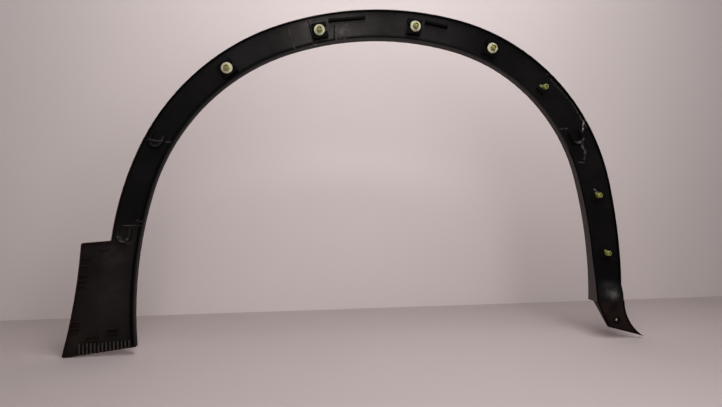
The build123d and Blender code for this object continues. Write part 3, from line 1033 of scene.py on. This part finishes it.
@dataclass(frozen=True)
class StagePaint:
    """Plain pale paint of the floor and the wall."""

    name: str
    base: Colour
    uneven: Unevenness = Unevenness(2.2, 3.0, (0.3, 0.7), 0.97)
    roughness: float = 0.75
    specular: float = 0.1
    one_sided: bool = False
    far_glow: float = 0.0
    glow_middle: Point = (-0.05, 0.25, -0.53)
    glow_reach: Span = (0.85, 1.50)

    def build(self, effects: Effects) -> bpy.types.Material:
        """Makes the material, with a very faint unevenness.

        A one-sided paint is clear from behind. One with a far glow stays pale to the eye where it runs
        out of the lamps' reach, well away from the object and its shadow.

        Args:
            effects: The shared node groups.

        Returns:
            The finished material.
        """
        material, n, shader, coord = start_material(self.name)
        place = coord.outputs["Object"]
        tone = effects.tone(n, place, self.base, self.uneven)
        n.feed(shader, {
            "Base Color": tone,
            "Roughness": self.roughness,
            "Specular IOR Level": self.specular,
        })
        if self.one_sided:
            behind = n.add("ShaderNodeNewGeometry").outputs["Backfacing"]
            n.feed(shader, {"Alpha": n.inverse(behind)})
        if self.far_glow:
            far = n.ramp(n.vector("DISTANCE", place, self.glow_middle), *self.glow_reach)
            glow = n.times(far, seen_directly(n), self.far_glow)
            n.feed(shader, {"Emission Color": tone, "Emission Strength": glow})
        return material


@dataclass
class ClipPlaces:
    """Where the clips stand, read from the record's pin mounts."""

    record: dict
    bare: tuple[str, ...] = ("clip_pin_1", "clip_pin_2", "clip_pin_3")
    empty: tuple[Point, ...] = ((0.2896, 0.0, -0.1796), (-0.4140, 0.0, -0.1955), (-0.4616, 0.0, -0.3439))

    def pins(self) -> dict[str, np.ndarray]:
        """Pin name to the middle of the pin."""
        return {m["name"]: np.array(m["pos_m"]) for m in self.record["mounts"] if m["kind"] == "pin"}

    def state(self, name: str) -> SeatState:
        """Whether a clip still has its disc."""
        return SeatState.BARE if name in self.bare else SeatState.SEALED

    def seats(self) -> np.ndarray:
        """Middles of all seats, with and without a clip, in the plane of the arch."""
        return np.array([*self.pins().values(), *self.empty]) * IN_PLANE

    def sealed(self) -> np.ndarray:
        """Middles of the pins that still have a disc, one row each."""
        return np.array([p for name, p in self.pins().items() if self.state(name) is SeatState.SEALED])


@dataclass
class SealDiscs:
    """Soft discs on the upper clips: a crowned face with a pressed ring, round rim and centre hole."""

    places: np.ndarray
    seat_depth: float = 0.0060
    thickness: float = 0.0024
    radius: float = 0.0090
    hole: float = 0.0041
    hole_bevel: float = 0.0004
    edge_round: float = 0.0011
    face_fall: float = 0.05
    ring_depth: float = 0.00032
    ring_at: float = 0.55
    ring_width: float = 0.16
    shrink: float = 0.012
    oval: float = 0.010
    lobed: float = 0.006
    dish: float = 0.05
    phase_step: float = 1.9
    seat_inset: Span = (0.0006, 0.0003)
    face_rows: int = 22
    rim_rows: int = 8
    seat_rows: int = 6
    columns: int = 72

    def profile(self) -> tuple[np.ndarray, np.ndarray]:
        """Closed section of a disc, radius and height above its seat.

        Returns:
            Radii and heights: up the hole, out over a face that dips in a shallow ring and falls a
            little towards a rounded rim, and back along the seat.
        """
        s = np.linspace(0.0, 1.0, self.face_rows)
        inner, outer = self.hole + self.hole_bevel, self.radius - self.edge_round
        ring = self.ring_depth * np.exp(-((s - self.ring_at) / self.ring_width) ** 2)
        face_r = inner + s * (outer - inner)
        face_h = self.thickness * (1.0 - self.face_fall * s ** 3) - ring
        turn = np.linspace(0.0, 0.5 * np.pi, self.rim_rows)[1:]
        rim_r = outer + self.edge_round * np.sin(turn)
        rim_h = (1.0 - self.face_fall) * self.thickness - self.edge_round * (1.0 - np.cos(turn))
        hole_h = np.array([0.0, 0.4, 0.8, 0.95]) * self.thickness
        by_hole, by_rim = self.seat_inset
        seat_r = np.linspace(self.radius - by_rim, self.hole + by_hole, self.seat_rows)
        r = np.concatenate([np.full_like(hole_h, self.hole), face_r, rim_r, seat_r])
        h = np.concatenate([hole_h, face_h, rim_h, np.zeros_like(seat_r)])
        return r, h

    def build(self, material: bpy.types.Material) -> bpy.types.Object:
        """Turns the profile round each pin, a little out of round and dished, and joins the discs.

        The radius gains waves of two and three turns, and the height loses a wave of one turn. All
        grow from nothing at the hole to their full size at the rim, and start elsewhere on each disc.

        Args:
            material: Finish of the discs.

        Returns:
            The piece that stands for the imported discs.
        """
        r, h = self.profile()
        turn = np.linspace(0.0, 2.0 * np.pi, self.columns, endpoint=False)
        phase = np.arange(len(self.places))[:, None, None] * self.phase_step
        t, rr, hh = turn[None, None, :], r[None, :, None], h[None, :, None]
        share = (rr - self.hole) / (self.radius - self.hole)
        waves = self.oval * np.cos(2 * t + phase) + self.lobed * np.cos(3 * t - phase)
        out = rr * (1.0 + share * (waves - self.shrink))
        lift = hh * (1.0 - share * self.dish * (1.0 + np.cos(t + phase)))
        x = self.places[:, 0, None, None] + out * np.cos(t)
        z = self.places[:, 2, None, None] + out * np.sin(t)
        y = np.broadcast_to(self.seat_depth - lift, x.shape)
        one = grid_faces(len(r), self.columns, closed=True)
        faces = copied_faces(one, len(self.places), len(r) * self.columns)
        piece = grid_mesh("seal_discs", np.stack([x, y, z], -1), faces)
        reach = piece.data.attributes.new("reach", "FLOAT", "POINT")
        reach.data.foreach_set("value", np.broadcast_to(share, x.shape).astype(np.float32).ravel())
        piece.data.materials.append(material)
        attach(piece, "root")
        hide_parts("clip_seals")
        return piece


@dataclass
class PinBarbs:
    """Two spring barbs on each clip pin: thin wings that rise from the shoulder and fall to the tip."""

    places: np.ndarray
    pin_radius: float = 0.0042
    sunk: float = 0.00015
    half_length: float = 0.0030
    rise: float = 0.0011
    skew: float = 0.7
    half_width: float = 0.0013
    rows: int = 15
    columns: int = 9

    def build(self, material: bpy.types.Material) -> bpy.types.Object:
        """Lays a humped strip on two opposite sides of every pin.

        The strip's height over the pin is a skewed hump along the pin, and it fades to nothing at
        both of its edges, so the wing closes against the pin. The two sides lie half way between the
        direction away from the middle of the arch and the direction along it.

        Args:
            material: Finish of the clips.

        Returns:
            The piece with all barbs.
        """
        along, across = np.linspace(0.0, 1.0, self.rows), np.linspace(-1.0, 1.0, self.columns)
        a, c = np.meshgrid(along, across, indexing="ij")
        hump = self.rise * np.sin(np.pi * a ** self.skew) * np.sqrt(np.clip(1.0 - c ** 4, 0.0, 1.0))
        spread = c * self.half_width / self.pin_radius
        radius = self.pin_radius - self.sunk + hump
        away = np.arctan2(self.places[:, 2] - ARCH_MIDDLE[1], self.places[:, 0] - ARCH_MIDDLE[0])
        sides = away[:, None] + np.pi / 4 + np.array([0.0, np.pi])[None, :]
        turn = sides[:, :, None, None] + spread[None, None]
        px, py, pz = (self.places[:, axis, None, None, None] for axis in range(3))
        x = px + radius * np.cos(turn)
        z = pz + radius * np.sin(turn)
        y = py + np.broadcast_to((0.5 - a) * 2.0 * self.half_length, x.shape)
        one = grid_faces(self.rows, self.columns, closed=False)
        faces = copied_faces(one, sides.size, a.size)
        piece = grid_mesh("pin_barbs", np.stack([x, y, z], -1), faces[:, ::-1])
        piece.data.materials.append(material)
        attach(piece, "root")
        return piece


@dataclass
class PackedPieces:
    """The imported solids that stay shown, with worked-out finishes."""

    nodes: dict

    def dress(self, name: str, material: bpy.types.Material) -> bpy.types.Object:
        """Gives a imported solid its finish.

        Args:
            name: Name of the node.
            material: Finish for all its faces.

        Returns:
            The node's object.
        """
        piece = self.nodes[name]
        if piece.material_slots:
            for place in piece.material_slots:
                place.material = material
        else:
            piece.data.materials.append(material)
        return piece


@dataclass(frozen=True)
class SoftLamp:
    """A square soft lamp that looks at a point."""

    name: str
    place: Point
    aim: Point
    size: float
    power: float
    colour: Colour = (1.0, 0.985, 0.975)

    def hang(self) -> bpy.types.Object:
        """Adds the lamp to the scene.

        Returns:
            The lamp object.
        """
        data = bpy.data.lights.new(self.name, "AREA")
        data.shape = "SQUARE"
        data.size = self.size
        data.energy = self.power
        data.color = self.colour
        lamp = bpy.data.objects.new(self.name, data)
        bpy.context.scene.collection.objects.link(lamp)
        lamp.matrix_world = aimed(Vector(self.place), Vector(self.aim) - Vector(self.place))
        return lamp


@dataclass
class Studio:
    """Floor, wall, lamps and camera: a soft key overhead that mostly washes the wall, and a front lamp."""

    floor_level: float
    image_size: tuple[int, int] = (722, 407)
    focal_pixels: float = 550.0
    sensor_width: float = 36.0
    clip_start: float = 0.01
    yaw: float = 8.0
    target: Point = (-0.0909, 0.0068, -0.2937)
    distance: float = 0.900
    wall_left: Span = (-0.6866, 0.3118)
    wall_right: Span = (0.6521, 0.3599)
    wall_overrun: float = 3.0
    wall_height: float = 2.6
    floor_depth: float = 4.0
    floor_behind: float = 3.6
    wall_tone: Colour = (0.68, 0.605, 0.60)
    floor_tone: Colour = (0.485, 0.422, 0.417)
    sky_tone: Colour = (1.0, 0.975, 0.97)
    room: float = 0.10
    backdrop: float = 0.55
    lamps: tuple[SoftLamp, ...] = (
        SoftLamp("key", (0.03, -0.40, 0.64), (0.03, 0.330, -0.30), 0.60, 7.6),
        SoftLamp("front", (0.00, -0.95, 0.10), (-0.02, 0.336, -0.14), 0.80, 7.2),
    )

    def camera(self) -> bpy.types.Object:
        """A level camera at the photograph's angle, looking a little to the right.

        Returns:
            The camera object, set as the scene's camera.
        """
        data = bpy.data.cameras.new("viewer")
        data.sensor_fit = "HORIZONTAL"
        data.sensor_width = self.sensor_width
        data.lens = self.sensor_width * self.focal_pixels / self.image_size[0]
        data.clip_start = self.clip_start
        viewer = bpy.data.objects.new("viewer", data)
        bpy.context.scene.collection.objects.link(viewer)
        turn = math.radians(self.yaw)
        look = Vector((math.sin(turn), math.cos(turn), 0.0))
        viewer.matrix_world = aimed(Vector(self.target) - look * self.distance, look)
        bpy.context.scene.camera = viewer
        return viewer

    def plane(self, name: str, corners: list[Vector], material: bpy.types.Material) -> bpy.types.Object:
        """A flat stage surface.

        Args:
            name: Name of the surface.
            corners: Its four corners in turn.
            material: Its paint.

        Returns:
            The surface's object.
        """
        surface = grid_mesh(name, np.array(corners), np.array([[0, 1, 2, 3]]), smooth=False)
        surface.data.materials.append(material)
        return surface

    def surfaces(self, effects: Effects) -> None:
        """Wall and floor, which meet on the line that the photograph shows; the floor runs on behind.

        Args:
            effects: The shared node groups.
        """
        left, right = (Vector((*end, self.floor_level)) for end in (self.wall_left, self.wall_right))
        run = (right - left).normalized()
        forward = Vector((run.y, -run.x, 0.0))
        a, b = left - run * self.wall_overrun, right + run * self.wall_overrun
        up, near = Vector((0.0, 0.0, self.wall_height)), forward * self.floor_depth
        far = forward * -self.floor_behind
        wall = StagePaint("stage_wall", self.wall_tone, one_sided=True)
        floor = StagePaint("stage_floor", self.floor_tone, far_glow=0.75)
        beyond = StagePaint("stage_floor_beyond", self.floor_tone, far_glow=0.22, glow_reach=(0.0, 0.05))
        self.plane(wall.name, [a, b, b + up, a + up], wall.build(effects))
        self.plane(floor.name, [a + near, b + near, b, a], floor.build(effects))
        self.plane(beyond.name, [a, b, b + far, a + far], beyond.build(effects))

    def light(self) -> None:
        """Hangs the lamps and fills the room with an even, dim light in front of a paler backdrop."""
        for lamp in self.lamps:
            lamp.hang()
        world = bpy.data.worlds.new("room")
        bpy.context.scene.world = world
        world.use_nodes = True
        n = Nodes(world.node_tree)
        pale = n.times(seen_directly(n), self.backdrop - self.room)
        sky = {"Color": (*self.sky_tone, 1.0), "Strength": n.plus(pale, self.room)}
        n.feed(world.node_tree.nodes["Background"], sky)


def main() -> None:
    """Builds the finishes, the pieces and the studio in order."""
    logging.basicConfig(level=logging.INFO, format="%(name)s: %(message)s")
    bpy.context.scene.view_settings.view_transform = "Standard"
    effects = Effects()
    packed = PackedPieces(frame["nodes"])
    places = ClipPlaces(frame["record"])
    pins = np.array(list(places.pins().values()))
    black = MouldedBlack().build(effects, places.seats(), np.array(places.empty))
    nylon, foam = ClipNylon().build(effects, pins), SealFoam().build(effects)
    for name, material in (("arch_moulding", black), ("push_clips", nylon)):
        LOG.info("dressed %s", packed.dress(name, material).name)
    LOG.info("built %s", SealDiscs(places.sealed()).build(foam).name)
    LOG.info("built %s", PinBarbs(pins).build(nylon).name)
    studio = Studio(floor_level=float(CAD_BOX[0][2]))
    studio.surfaces(effects)
    studio.light()
    LOG.info("camera %s", studio.camera().name)


if __name__ == "__main__":
    main()
